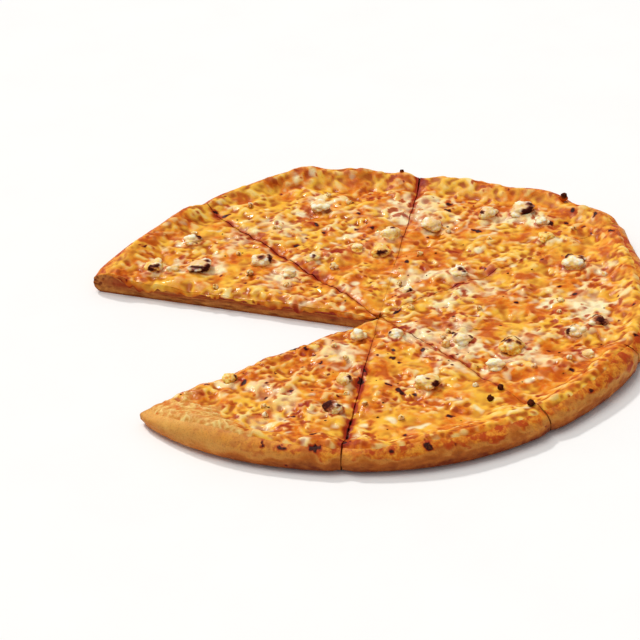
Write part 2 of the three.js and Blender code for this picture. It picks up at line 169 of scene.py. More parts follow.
# The white chunks in order: how far melted cheddar coats each, its scorched arcs as (bearing, half span),
# and its scorched blobs as (x, y, half width) in shares of the chunk's width.
CHUNK_LOOKS = [
    (0.35, [(150, 60)], []), (0.25, [(100, 50)], [(0.14, -0.1, 0.27)]),
    (0.4, [(95, 75)], [(0.3, 0.0, 0.1)]), (0.85, [], [(0.0, 0.25, 0.08)]),
    (0.3, [(-30, 25)], [(0.15, 0.0, 0.13)]), (0.2, [], []), (0.1, [(-60, 40)], [(0.33, 0.0, 0.15)]),
    (0.3, [(200, 30)], []), (0.1, [(-45, 40)], []), (0.3, [], []), (0.5, [], [(0.12, 0.1, 0.09)]),
    (0.8, [(-80, 45)], []), (0.7, [], []), (0.2, [], []),
    (0.45, [], [(-0.1, 0.15, 0.07), (0.1, -0.25, 0.09)]), (0.3, [(0, 40)], [(0.0, -0.12, 0.13)]),
    (0.15, [], []), (0.3, [], [(0.3, 0.05, 0.14)]), (0.3, [(-80, 80), (30, 20)], []),
    (0.6, [(-90, 50)], []), (0.5, [], []), (0.75, [], [(0.35, 0.0, 0.08)]),
    (0.3, [(-30, 25)], [(-0.22, 0.05, 0.34)]), (0.6, [(10, 50)], [(0.33, -0.1, 0.12)]), (0.1, [], []),
    (0.55, [(-40, 30)], [(0.0, -0.05, 0.06)]), (0.15, [(170, 30)], []), (0.1, [], []),
    (0.05, [(30, 50), (150, 20)], []), (0.7, [(90, 75)], [(-0.1, 0.0, 0.12), (0.25, -0.05, 0.08)]),
    (0.4, [], []),
]
FLOOR_HALF = 6000.0
# The suns: name, strength, width in degrees, and the direction towards it.
SUNS = [("key", 1.2, 35, (-0.3, 0.2, 1.1)), ("glints", 1.4, 5, (-0.45, 0.8, 0.95))]
SUN_COLOUR = (1.0, 0.985, 0.95)
SKY_STRENGTH = 0.38
CAMERA_AIM = Vector((-30.1, 1.4, 0.0)) * MM
CAMERA_DISTANCE = 1602 * MM
CAMERA_HEIGHT_ANGLE = math.radians(30)
CAMERA_ROLL = math.radians(-3.9)
CAMERA_LENS = 146.25
CAMERA_SENSOR = 36.0
CAMERA_CLIP = (0.1, 50.0)

# ---- Helpers ----


def lerp(a, b, t):
    return a + (b - a) * t


def smooth(t):
    t = np.clip(t, 0, 1)
    return t * t * (3 - 2 * t)


def random_stream(seed):
    return np.random.default_rng(seed)


def turn_between(bearing, other):
    """Degrees from one bearing to another, between -180 and 180."""
    return (bearing - other + 180) % 360 - 180


def bearing_of(x, y):
    return np.degrees(np.arctan2(y, x))


def turned(dx, dy, angle):
    """Distances along a direction and across it."""
    return dx * math.cos(angle) + dy * math.sin(angle), dy * math.cos(angle) - dx * math.sin(angle)


def faded_ends(count, over):
    """A share for each of a row of points: 1, but falling to 0 over a number of them at both ends."""
    from_end = np.minimum(np.arange(count), np.arange(count)[::-1])
    return smooth(from_end / over)


def polar(start, bearing, out):
    t = np.radians(bearing)
    return start[0] + np.cos(t) * out, start[1] + np.sin(t) * out


# ---- The shape of the round ----


def handled(bearing, way):
    total = 0 * bearing
    for push in HANDLING:
        total = total + push[way] * np.exp(-((turn_between(bearing, push[0]) / push[1]) ** 2))
    return total


def outline_radius(bearing):
    t = np.radians(bearing)
    round_ = 1 + 0.015 * np.sin(4 * t) - 0.017 * np.cos(5 * t) - 0.011 * np.sin(6 * t)
    return RADIUS * round_ + handled(bearing, 2)


def reach(start, bearing):
    distance = np.full_like(bearing, RADIUS)
    for _ in range(30):
        x, y = polar(start, bearing, distance)
        distance = distance + outline_radius(bearing_of(x, y)) - np.hypot(x, y)
    return distance


def rim_width(bearing):
    t = np.radians(bearing)
    return 1 + 0.1 * np.sin(5 * t + 0.6) + 0.08 * np.sin(11 * t + 2.1)


def rim_lift(bearing):
    t = np.radians(bearing)
    rolling = 0.08 * np.sin(3 * t + 2.6) + 0.07 * np.sin(8 * t + 0.4) + 0.06 * np.sin(17 * t)
    return 1 + rolling + handled(bearing, 3) / (RIM_TOP - CRUMB_HEIGHT)


def cheese_edge(bearing):
    t = np.radians(bearing)
    ripple = 0.6 * np.sin(9 * t + 1) + 0.4 * np.sin(23 * t + 2)
    return CHEESE_EDGE.share + CHEESE_EDGE.ripple * ripple


def swell(x, y):
    return (
        0.42 * np.sin(0.115 * x + 0.061 * y + 1.3)
        + 0.38 * np.sin(-0.083 * x + 0.137 * y + 4.1)
        + 0.3 * np.sin(0.21 * x - 0.168 * y + 2.2)
        + 0.26 * np.sin(0.153 * x + 0.246 * y + 0.5)
    )


def make_slice(number, start, end):
    """One slice between two strokes, with the point that its rays leave from."""
    opening = math.radians(end[0] - start[0])
    set_back = CUT_WIDTH / 2 / math.sin(opening / 2)
    apex = polar(CUT_CENTRE, (start[0] + end[0]) / 2, set_back)
    return SimpleNamespace(number=number, start=start, end=end, apex=apex)


def make_rays(piece, bearing):
    """What the rim does at the end of each ray that leaves the slice's point."""
    full = reach(piece.apex, bearing)
    x, y = polar(piece.apex, bearing, full)
    around = bearing_of(x, y)
    from_start = np.radians(bearing - piece.start[0])
    from_end = np.radians(piece.end[0] - bearing)
    to_cut = full * np.sin(np.minimum(from_start, from_end))
    pinch = 1 - CUT_PINCH[0] * np.exp(-((to_cut / CUT_PINCH[1]) ** 2))
    return SimpleNamespace(
        bearing=bearing,
        around=around,
        from_start=from_start,
        from_end=from_end,
        length=full - CUT_CORNER[0] * np.exp(-((to_cut / CUT_CORNER[1]) ** 2)),
        width=rim_width(around),
        lift=rim_lift(around) * pinch,
        edge=cheese_edge(around),
    )


def lifted(rays, height):
    return height + np.maximum(0, height - CRUMB_HEIGHT) * (rays.lift - 1)


def crust_profile(rays):
    """The dough's section on each ray, from its foot over the rim to the middle: inset and height."""
    insets = [np.full_like(rays.length, inset) for inset, _ in WALL]
    insets += [inset * rays.width for inset, _ in RIM]
    heights = [lifted(rays, height) for _, height in WALL + RIM]
    return np.stack(insets, 1), np.stack(heights, 1)


def cheese_rows(rays):
    """The underside of the cheese from its outer edge inwards: inset and height on each ray."""
    insets, heights = crust_profile(rays)
    wall = len(WALL) - 1
    top_insets, top_heights = insets[:, wall + 1 :], heights[:, wall + 1 :]
    over_sauce = SAUCE_THICKNESS + LAYER_GAP
    steps = [smooth((inset - RIM[2][0]) / (RIM[-1][0] - RIM[2][0])) for inset, _ in RIM]
    floors = top_heights + over_sauce * np.array(steps)
    edge_inset = lerp(insets[:, wall], top_insets[:, 0], rays.edge)
    edge_floor = lerp(heights[:, wall], top_heights[:, 0], rays.edge)
    return np.column_stack([edge_inset, top_insets]), np.column_stack([edge_floor, floors])


def cheese_body(piece, rays, out):
    """Thickness at a distance out along each ray, thin at the rim and the tip, and the share of a sag."""
    inset = (rays.length[:, None] - out) / rays.width[:, None]
    full = smooth((inset - CHEESE_EDGE.inset) / FULL_THICKNESS_WIDTH)
    over_rim = lerp(CHEESE_EDGE.thickness, CHEESE_THICKNESS, full)
    near_tip = lerp(TIP_THINNING[0], 1, smooth(out / TIP_THINNING[1]))
    x, y = polar(piece.apex, rays.bearing[:, None], out)
    waves = swell(x, y) * smooth((inset - SWELL_FADE[0]) / SWELL_FADE[1])
    return over_rim * near_tip + waves, smooth(inset / SAG_FADE)


def cut_shows(bearing, out):
    """How plainly a cut shows at distances out: 1 where it is open, 0 where the cheese has closed it."""
    return np.interp(out, np.array([0, 1 / 3, 2 / 3, 1]) * RADIUS, CUT_SHOWS[bearing])


def cheese_thickness(piece, rays, out):
    """Thickness at a distance out along each ray, sagging beside a cut where it is open."""
    body, share = cheese_body(piece, rays, out)
    for stroke, angle in ((piece.start, rays.from_start), (piece.end, rays.from_end)):
        to_cut = out * np.sin(angle)[:, None]
        sag = stroke[1] * cut_shows(stroke[0], out)
        body = body - share * sag * np.exp(-((to_cut / SHOULDER_SPREAD) ** 2))
    return np.maximum(THINNEST_CHEESE, body)


def interpolate_rows(insets, heights, wanted):
    """Heights at wanted insets on each ray."""
    return np.stack([np.interp(w, i, h) for w, i, h in zip(wanted, insets, heights)])


# ---- The plan: relief and colours seen from above ----

PLAN_SIZE = int(2 * PLAN_HALF / PLAN_STEP)
PLAN_AXIS = np.arange(PLAN_SIZE) * PLAN_STEP - PLAN_HALF
PLAN_X, PLAN_Y = np.meshgrid(PLAN_AXIS, PLAN_AXIS, indexing="ij")


def blur(field, spread):
    frequency = np.fft.fftfreq(PLAN_SIZE, PLAN_STEP)
    falloff = np.exp(-2 * (math.pi * spread * frequency) ** 2)
    return np.fft.ifft2(np.fft.fft2(field) * falloff[:, None] * falloff).real


def noise(size, seed):
    """Even noise with blobs of about a size, mean 0 and spread 1. It repeats at the plan's edges."""
    field = blur(random_stream(seed).standard_normal((PLAN_SIZE, PLAN_SIZE)), size / 3)
    return (field - field.mean()) / field.std()


def sample(field, x, y):
    """The plan's value at points, between its cells, repeating beyond its edges."""
    u = (np.asarray(x) + PLAN_HALF) / PLAN_STEP
    v = (np.asarray(y) + PLAN_HALF) / PLAN_STEP
    i, j = np.floor(u).astype(int), np.floor(v).astype(int)
    s, t = u - i, v - j
    i0, i1, j0, j1 = i % PLAN_SIZE, (i + 1) % PLAN_SIZE, j % PLAN_SIZE, (j + 1) % PLAN_SIZE
    low = lerp(field[i0, j0], field[i1, j0], s)
    high = lerp(field[i0, j1], field[i1, j1], s)
    return lerp(low, high, t)


def random_place(rng):
    return polar((0, 0), 360 * rng.random(), RADIUS * math.sqrt(rng.random()))


def window(x, y, half):
    """The cells of the plan around a point."""
    i = int((x + PLAN_HALF) / PLAN_STEP)
    j = int((y + PLAN_HALF) / PLAN_STEP)
    n = int(half / PLAN_STEP) + 1
    return slice(max(0, i - n), min(PLAN_SIZE, i + n)), slice(max(0, j - n), min(PLAN_SIZE, j + n))


def pale_chance(chunks):
    """How likely a shred is to be a pale one, over the plan."""
    chance = 0.1 + 0.16 * noise(22, 11)
    for x, y, half in PALE_PATCHES:
        chance = chance + 0.8 * np.exp(-((PLAN_X - x) ** 2 + (PLAN_Y - y) ** 2) / half**2)
    for chunk in chunks:
        distance = np.hypot(PLAN_X - chunk.x, PLAN_Y - chunk.y) / (1.5 * chunk.half)
        chance = chance + 0.5 * np.exp(-(distance**4))
    return np.clip(chance, 0.02, 0.95)


def browned_rings(chunks, ragged):
    """Where the cheese has browned against the foot of a chunk."""
    rings = 0 * PLAN_X
    for chunk in chunks:
        aside = np.hypot(PLAN_X - chunk.x, PLAN_Y - chunk.y) - chunk.half - 0.5 * ragged
        rings = np.maximum(rings, np.exp(-((aside / 1.1) ** 2)))
    return rings * smooth(0.5 + 0.6 * ragged)


def lay_shreds(chance):
    """Shreds of cheese that have melted where they fell: their relief, and how pale the topmost is."""
    rng = random_stream(21)
    relief = np.zeros((PLAN_SIZE, PLAN_SIZE))
    pale = np.clip(chance - 0.2, 0, 0.6)
    warped_x = PLAN_X + 0.9 * noise(6, 22) + 0.35 * noise(2.5, 23)
    warped_y = PLAN_Y + 0.9 * noise(6, 24) + 0.35 * noise(2.5, 25)
    for _ in range(SHREDS):
        x, y = random_place(rng)
        angle, half_length = math.pi * rng.random(), rng.uniform(*SHRED_LENGTH)
        half_width, height = rng.uniform(*SHRED_WIDTH), rng.uniform(*SHRED_HEIGHT)
        bend = rng.uniform(-SHRED_BEND, SHRED_BEND)
        cells = window(x, y, half_length + 5)
        along, across = turned(warped_x[cells] - x, warped_y[cells] - y, angle)
        across = across - bend * along**2
        body = np.clip(1 - (across / half_width) ** 2 - (along / half_length) ** 4, 0, 1) ** 0.6
        is_pale = rng.random() < sample(chance, x, y)
        tone = rng.uniform(0.6, 1.0) if is_pale else rng.uniform(0, 0.25)
        cover = np.clip(1.5 * body, 0, 1) * rng.uniform(0.5, 1)
        relief[cells] = np.maximum(relief[cells], 0.45 * relief[cells] + height * body)
        pale[cells] += (tone - pale[cells]) * cover
    return relief, pale


def plan_inset():
    """Distance in from the round's outline, over the plan."""
    return outline_radius(bearing_of(PLAN_X, PLAN_Y)) - np.hypot(PLAN_X, PLAN_Y)


def spots(kind, ragged):
    """A scatter of small ragged spots, each 1 in its middle and 0 outside."""
    count, least, most, seed = kind
    rng = random_stream(seed)
    field = np.zeros((PLAN_SIZE, PLAN_SIZE))
    for _ in range(count):
        x, y = random_place(rng)
        half = least + (most - least) * rng.random() ** 2
        stretch, angle = rng.uniform(0.5, 1), math.pi * rng.random()
        cells = window(x, y, 2 * half + 1)
        along, across = turned(PLAN_X[cells] - x, PLAN_Y[cells] - y, angle)
        distance = np.hypot(along, across / stretch) * (1 + 0.25 * ragged[cells])
        field[cells] = np.maximum(field[cells], smooth((half - distance) / (0.5 * half) + 0.5))
    return field


def scorch_marks(ragged):
    field = np.zeros((PLAN_SIZE, PLAN_SIZE))
    for x, y, half_length, half_width, bearing in SCORCH_MARKS:
        cells = window(x, y, half_length + 3)
        along, across = turned(PLAN_X[cells] - x, PLAN_Y[cells] - y, math.radians(bearing))
        along = along / half_length
        distance = np.hypot(along, across / half_width - 0.35 * along**2) + 0.22 * ragged[cells]
        field[cells] = np.maximum(field[cells], smooth(1.6 - 1.5 * distance))
    return field


def bare_dough(inset, medium, small):
    """Where the dough of the rim shows beyond the baked cheese."""
    short_of_edge = 4
    width = (BARE_CORNER[2] + short_of_edge) * corner_share(PLAN_X, PLAN_Y) - short_of_edge
    return smooth((width + 3.0 * medium + 1.6 * small - inset) / 3 + 0.5)


def along_rim(field, inset):
    """A field drawn out along the rim, so that its blobs lie round it rather than across it."""
    return sample(field, 0.7 * RADIUS * np.arctan2(PLAN_Y, PLAN_X), inset)


def draw_plan(chunks):
    """All the fields that the melted cheese is shaped and coloured by."""
    fine, small, medium, large = noise(1.8, 31), noise(4, 32), noise(9, 33), noise(24, 34)
    patchy = noise(6.5, 44)
    inset = plan_inset()
    on_rim = smooth((RIM_SKIN[0] - inset) / RIM_SKIN[1])
    chance = pale_chance(chunks) * (1 - 0.75 * on_rim)
    pooled = smooth(0.45 + 1.1 * noise(15, 35) - 1.2 * chance) * (1 - on_rim)
    shreds, pale = lay_shreds(chance)
    puddles = smooth(chance + 0.3 * noise(8, 46) + 0.35 * noise(4.5, 48) - 0.6)
    pale = np.maximum(0.8 * pale, puddles) * lerp(0.4, 1, smooth((inset - 4) / 9))
    holes = np.clip(0.45 * medium + 0.6 * small + 0.3 * noise(2.5, 49) - 1.15, 0, 1)
    holes = holes * (1 - on_rim) * (1 - 0.8 * pooled)
    crags = sum(share * along_rim(noise(size, seed), inset) for share, size, seed in CRAGS)
    crags = np.clip(crags, -0.4, 1.4) * on_rim
    lumpy = 0.95 * blur(shreds, 0.7) + (0.3 * small + 0.03 * fine)
    relief = 0.45 * noise(14, 39) + 0.35 * medium + lerp(1, 0.3, pooled) * lumpy
    relief = lerp(relief, 0.5 * relief, on_rim) - 0.9 * holes + 0.9 * crags
    marks = scorch_marks(noise(1.6, 37))
    dark_spots = spots(DARK_SPOTS, fine)
    brown_spots = spots(BROWN_SPOTS, fine) * (1 - 0.5 * pooled)
    bare = bare_dough(inset, medium, small)
    wrinkles = np.clip(1 - 1.6 * np.abs(noise(4.5, 43)), 0, 1) * smooth(0.7 + 0.6 * medium)
    relief = relief * (1 - 0.8 * bare) + 1.2 * bare * wrinkles
    # The relief's fine ups and downs, which the cheese material turns into painted shade in the hollows
    # and painted highlights on the crests.
    ridge = blur(relief, 0.4) - blur(relief, 2.2)
    browned = 0.3 * medium + 0.25 * small + 0.35 * patchy + 0.25 * noise(14, 47) + 0.1 * on_rim - 0.5
    mottled = 0.5 * noise(3, 50) + 0.3 * small + 0.25 * patchy + 0.3 * crags - 0.3
    browned = lerp(browned, mottled, 0.8 * on_rim)
    browned = np.clip(1.1 * browned, 0, 0.6) * (1 - 0.5 * puddles)
    brown_spots = np.maximum(brown_spots, browned_rings(chunks, small))
    brown = np.maximum(browned * (1 - 0.7 * bare), 0.8 * brown_spots * (1 - 0.5 * bare))
    brown = brown + 0.7 * blur(marks, 1.2)
    red = np.clip(1.8 * holes + 0.6 * np.clip(noise(4, 38) - 1.4, 0, 1), 0, 1)
    return SimpleNamespace(
        relief=relief,
        ridge=0.5 + ridge / 0.75,
        pale=blur(pale, 0.6),
        brown=np.clip(brown, 0, 1),
        char=np.clip(np.maximum(marks, 0.85 * dark_spots), 0, 1),
        red=red * (1 - bare) * smooth(1 - 2.5 * ridge),
        deep=0.6 + 0.25 * large + 0.3 * medium + 0.3 * patchy - 0.1 * on_rim,
        bare=bare,
        dry=on_rim,
        medium=medium,
        small=small,
        fine=fine,
        inset=inset,
    )


# ---- Meshes ----

NO_QUADS = np.zeros((0, 4), int)
NO_TRIANGLES = np.zeros((0, 3), int)
DRAPE_SHARES = np.linspace(0, 1, DRAPE_ROWS + 1)[1:-1]
DRAPE_UP = (DRAPE_SHARES - DRAPE_SHARES[0]) / (1 - DRAPE_SHARES[0])  # 0 at the lowest row
CRUMB_SHARES = np.linspace(0, 1, CRUMB_ROWS + 1)[1:-1]


def grid_quads(index, flip=False):
    """The quads between the rows and columns of a grid of point numbers."""
    a, b, c, d = index[:-1, :-1], index[:-1, 1:], index[1:, 1:], index[1:, :-1]
    order = (a, d, c, b) if flip else (a, b, c, d)
    return np.stack([corner.ravel() for corner in order], 1)


def show(name, data):
    """An object of a mesh, a light or a camera, put into the scene."""
    shown = bpy.data.objects.new(name, data)
    bpy.context.scene.collection.objects.link(shown)
    return shown


def make_mesh(name, points, quads=NO_QUADS, triangles=NO_TRIANGLES):
    """A smooth-shaded object from arrays of points in millimetres and of corners."""
    same = np.stack([quads[:, i] == quads[:, (i + 1) % 4] for i in range(4)], 1)
    keep = ~same.any(1)
    collapsed = [list(dict.fromkeys(quad)) for quad in quads[~keep].tolist()]
    extra = [quad for quad in collapsed if len(quad) == 3]
    quads = quads[keep]
    triangles = np.array(triangles.tolist() + extra, int).reshape(-1, 3)
    mesh = bpy.data.meshes.new(name)
    mesh.vertices.add(len(points))
    mesh.vertices.foreach_set("co", (np.asarray(points) * MM).astype(np.float32).ravel())
    mesh.loops.add(4 * len(quads) + 3 * len(triangles))
    corners = np.concatenate([quads.ravel(), triangles.ravel()])
    mesh.loops.foreach_set("vertex_index", corners.astype(np.int32))
    mesh.polygons.add(len(quads) + len(triangles))
    sizes = np.concatenate([np.full(len(quads), 4), np.full(len(triangles), 3)]).astype(np.int32)
    mesh.polygons.foreach_set("loop_start", (np.cumsum(sizes) - sizes).astype(np.int32))
    mesh.polygons.foreach_set("use_smooth", np.ones(len(sizes), bool))
    mesh.update(calc_edges=True)
    mesh.validate()
    return show(name, mesh)


def set_masks(shown, **masks):
    """Gives the points values from 0 to 1 that a material reads by name."""
    for name, values in masks.items():
        attribute = shown.data.attributes.new(name, "FLOAT", "POINT")
        attribute.data.foreach_set("value", np.clip(values, 0, 1).astype(np.float32))


def points_of(shown):
    points = np.zeros(len(shown.data.vertices) * 3, np.float32)
    shown.data.vertices.foreach_get("co", points)
    return points.reshape(-1, 3) / MM


def wedge_mesh(name, top, bottom, shares, caps):
    """A closed wedge, and the number of its first point on a cut face. top and bottom are grids of points,
    ray by ray from the tip out to an edge that they share. Points at shares of its height go up its blunt
    tip, and the caps hold those up its cut faces."""
    rays, stations, _ = top.shape
    rows = len(shares)
    tip = lerp(bottom[:, 0][:, None], top[:, 0][:, None], shares[:, None])
    blocks = [grid.reshape(-1, 3) for grid in (top, bottom[:, :-1], tip, *caps)]
    starts = np.cumsum([0] + [len(block) for block in blocks])
    top_index = starts[0] + np.arange(rays * stations).reshape(rays, stations)
    bottom_index = starts[1] + np.arange(rays * (stations - 1)).reshape(rays, stations - 1)
    bottom_index = np.column_stack([bottom_index, top_index[:, -1]])
    tip_index = starts[2] + np.arange(rays * rows).reshape(rays, rows)
    tip_index = np.column_stack([bottom_index[:, 0], tip_index, top_index[:, 0]])
    quads = [grid_quads(top_index), grid_quads(bottom_index, flip=True), grid_quads(tip_index, flip=True)]
    for ray, start, flip in ((0, starts[3], False), (rays - 1, starts[4], True)):
        inner = start + np.arange((stations - 2) * rows).reshape(stations - 2, rows)
        edge = np.full((1, rows), top_index[ray, -1])
        columns = np.vstack([tip_index[ray, 1:-1], inner, edge])
        cap = np.column_stack([bottom_index[ray], columns, top_index[ray]])
        quads.append(grid_quads(cap, flip))
    return make_mesh(name, np.concatenate(blocks), np.concatenate(quads)), starts[3]


# ---- Materials ----


def linear(red, green, blue):
    """A colour as it looks on a screen, 0 to 255, as the shader takes it."""
    channels = [c / 255 for c in (red, green, blue)]
    return tuple(c / 12.92 if c < 0.04045 else ((c + 0.055) / 1.055) ** 2.4 for c in channels) + (1.0,)


class Painter:
    """Builds one procedural material, node by node."""

    def __init__(self, name):
        self.material = bpy.data.materials.new(name)
        self.material.use_nodes = True
        self.tree = self.material.node_tree
        self.shader = self.tree.nodes["Principled BSDF"]
        self.place = self.add("TexCoord").outputs["Object"]

    def add(self, kind, **settings):
        """A new node with its named sockets fed."""
        node = self.tree.nodes.new("ShaderNode" + kind)
        self.fill(node, **settings)
        return node

    def fill(self, node, **settings):
        """Feeds sockets of a node, named with _ for a space."""
        for name, value in settings.items():
            self.feed(node.inputs[name.replace("_", " ")], value)

    def feed(self, socket, value):
        """Sets a socket to a number or a screen colour, or links an output to it."""
        if isinstance(value, tuple):
            socket.default_value = linear(*value)
        elif isinstance(value, (int, float)):
            socket.default_value = value
        else:
            self.tree.links.new(value, socket)

    def mask(self, name):
        node = self.add("Attribute")
        node.attribute_name = name
        return node.outputs["Fac"]

    def noise(self, size):
        """Noise with features of about a size in millimetres."""
        scale = 1 / (size * MM)
        node = self.add("TexNoise", Vector=self.place, Scale=scale, Detail=3.0, Roughness=0.55)
        return node.outputs["Fac"]

    def math(self, operation, a, b):
        node = self.add("Math")
        node.operation = operation
        for socket, value in zip(node.inputs, (a, b)):
            self.feed(socket, value)
        return node.outputs["Value"]

    def spread(self, value, low, high, to_low=0.0, to_high=1.0):
        """Maps a value from one range to another, and keeps it inside."""
        node = self.add("MapRange")
        for socket, fed in zip(node.inputs, (value, low, high, to_low, to_high)):
            self.feed(socket, fed)
        return node.outputs["Result"]

    def mix(self, share, a, b):
        """A colour between two, by the share in an output."""
        node = self.add("Mix")
        node.data_type = "RGBA"
        for place, value in ((0, share), (6, a), (7, b)):
            self.feed(node.inputs[place], value)
        return node.outputs[2]

    def cover(self, colour, coat, by, low, high, most=1.0):
        """A colour with a coat over it, from none where a mask or an output is low up to most of it."""
        value = self.mask(by) if isinstance(by, str) else by
        return self.mix(self.spread(value, low, high, 0, most), colour, coat)

    def scorch(self, colour):
        """A colour under the scorch marks: browned red round them and nearly black within."""
        colour = self.cover(colour, (172, 44, 6), "char", 0.05, 0.4, 0.85)
        return self.cover(colour, (54, 10, 4), "char", 0.35, 0.7)

    def bump(self, layers, depth):
        """Small relief, the sum of (output, share) layers, up to a depth in millimetres."""
        height = None
        for output, share in layers:
            scaled = self.math("MULTIPLY", output, share)
            height = scaled if height is None else self.math("ADD", height, scaled)
        node = self.add("Bump", Strength=0.5, Distance=depth * MM, Height=height)
        self.fill(self.shader, Normal=node.outputs["Normal"])

    def finish(self, colour, roughness, **settings):
        self.fill(self.shader, Base_Color=colour, Roughness=roughness, **settings)
        return self.material


def cheese_material():
    paint = Painter("melted_cheese")
    fine, small, broad = paint.noise(1.2), paint.noise(3.0), paint.noise(14)
    orange = paint.mix(paint.mask("deep"), (252, 190, 62), (231, 118, 20))
    orange = paint.cover(orange, (251, 190, 70), small, 0.4, 0.65, 0.4)
    # Painted shade: the hollows of the relief are coloured a deep orange-brown.
    painted_trough_shade = paint.spread(paint.mask("ridge"), 0.5, 0.05, 0, 0.8)
    colour = paint.mix(painted_trough_shade, orange, (166, 54, 0))
    colour = paint.cover(colour, (255, 240, 192), "pale", 0.15, 0.8)
    bare = paint.cover((212, 142, 60), (240, 192, 108), small, 0.4, 0.62)
    bare = paint.cover(bare, (216, 106, 26), paint.noise(7), 0.52, 0.66, 0.8)
    colour = paint.mix(paint.mask("bare"), colour, bare)
    # More painted shade in the hollows, over the bare dough as well.
    colour = paint.mix(paint.math("MULTIPLY", painted_trough_shade, 0.3), colour, (172, 70, 10))
    # Painted highlight: the crests of the relief are coloured pale cream.
    colour = paint.cover(colour, (255, 234, 152), "ridge", 0.6, 1.0, 0.55)
    colour = paint.cover(colour, (208, 94, 8), "brown", 0.05, 0.6, 0.85)
    colour = paint.cover(colour, (146, 32, 4), "brown", 0.5, 1)
    colour = paint.mix(paint.math("MULTIPLY", paint.mask("red"), 0.9), colour, (156, 34, 4))
    colour = paint.scorch(colour)
    paint.bump([(fine, 0.25), (small, 0.75)], 0.5)
    dull = paint.math("MAXIMUM", paint.mask("dry"), paint.mask("char"))
    dull = paint.math("MAXIMUM", dull, paint.mask("brown"))
    glossy = paint.spread(broad, 0.35, 0.65, 0.1, 0.22)
    roughness = paint.math("ADD", glossy, paint.spread(dull, 0, 1, 0, 0.35))
    paint.fill(paint.shader, Subsurface_Weight=0.06, Subsurface_Scale=0.0012)
    return paint.finish(colour, roughness, Specular_IOR_Level=0.1)


def crust_material():
    paint = Painter("baked_dough")
    fine, small, broad = paint.noise(1.0), paint.noise(3.5), paint.noise(16)
    # Painted shade with the baked tone: the skin goes from golden to dark brown low on the wall and
    # towards the front.
    skin = paint.cover((240, 182, 90), (204, 112, 36), "bake", 0, 0.5)
    skin = paint.cover(skin, (116, 38, 6), "bake", 0.4, 1)
    skin = paint.cover(skin, (222, 134, 52), small, 0.45, 0.7, 0.3)
    skin = paint.cover(skin, (168, 74, 22), broad, 0.45, 0.7, 0.3)
    melt = paint.cover((216, 106, 16), (244, 160, 50), small, 0.35, 0.62)
    melt = paint.cover(melt, (186, 56, 6), paint.noise(6), 0.46, 0.58, 0.9)
    skin = paint.mix(paint.mask("melt"), skin, melt)
    crumb = paint.cover((216, 144, 68), (178, 98, 36), small, 0.3, 0.7)
    # Painted shade in the pores of the cut crumb, darker the deeper each is pressed in.
    crumb = paint.mix(paint.mask("pore"), crumb, (128, 58, 18))
    colour = paint.mix(paint.mask("crumb"), skin, crumb)
    colour = paint.mix(paint.mask("stain"), colour, (164, 60, 14))
    colour = paint.scorch(colour)
    colour = paint.mix(paint.spread(fine, 0.35, 0.5, 0.3, 0), colour, (146, 74, 22))
    paint.bump([(fine, 0.5), (small, 0.5)], 0.5)
    roughness = paint.spread(broad, 0.3, 0.7, 0.42, 0.65)
    paint.fill(paint.shader, Subsurface_Weight=0.04, Subsurface_Scale=0.001)
    return paint.finish(colour, roughness, Specular_IOR_Level=0.14)


def sauce_material():
    paint = Painter("tomato_sauce")
    fine, small = paint.noise(0.8), paint.noise(4)
    colour = paint.cover((184, 58, 30), (140, 34, 18), small, 0.3, 0.7)
    colour = paint.cover(colour, (206, 92, 48), fine, 0.5, 0.7, 0.5)
    paint.bump([(fine, 0.5), (small, 0.5)], 0.4)
    return paint.finish(colour, paint.spread(small, 0.3, 0.7, 0.25, 0.45), Specular_IOR_Level=0.15)


def feta_material():
    paint = Painter("crumbly_white_cheese")
    fine, small = paint.noise(0.7), paint.noise(2.2)
    colour = paint.cover((255, 255, 240), (255, 243, 178), small, 0.42, 0.62)
    colour = paint.cover(colour, (250, 206, 92), paint.noise(3.6), 0.52, 0.68, 0.6)
    # Painted shade: the folds between the curds are coloured a warm orange.
    colour = paint.mix(paint.math("MULTIPLY", paint.mask("crease"), 0.6), colour, (242, 172, 56))
    coat = paint.cover((246, 164, 32), (255, 226, 122), small, 0.4, 0.6)
    colour = paint.mix(paint.mask("coat"), colour, coat)
    colour = paint.mix(paint.mask("brown"), colour, (168, 48, 8))
    colour = paint.mix(paint.mask("char"), colour, (62, 12, 6))
    paint.bump([(fine, 0.5), (small, 0.5)], 0.4)
    glossy = paint.spread(small, 0.3, 0.7, 0.2, 0.45)
    roughness = paint.math("ADD", glossy, paint.spread(paint.mask("char"), 0, 0.5, 0, 0.4))
    return paint.finish(colour, roughness, Specular_IOR_Level=0.1)


def herb_material():
    paint = Painter("dried_herb")
    small = paint.noise(1.2)
    colour = paint.cover((44, 14, 6), (104, 42, 14), small, 0.35, 0.65)
    colour = paint.mix(paint.mask("foot"), colour, (206, 92, 18))
    paint.bump([(small, 1.0)], 0.3)
    return paint.finish(colour, paint.spread(small, 0.3, 0.7, 0.5, 0.8), Specular_IOR_Level=0.05)


def floor_material():
    paint = Painter("pale_floor")
    colour = paint.cover((250, 250, 250), (248, 248, 248), paint.noise(60), 0.3, 0.7)
    return paint.finish(colour, paint.spread(paint.noise(80), 0.3, 0.7, 0.85, 0.9))


def dress(shown, material, slot, *nodes):
    """Gives a piece its material and its place in the frame, and hides the solids that it stands for."""
    shown.data.materials.clear()
    shown.data.materials.append(material)
    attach(shown, "root")
    if nodes:
        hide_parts(*nodes)


# ---- The dough ----


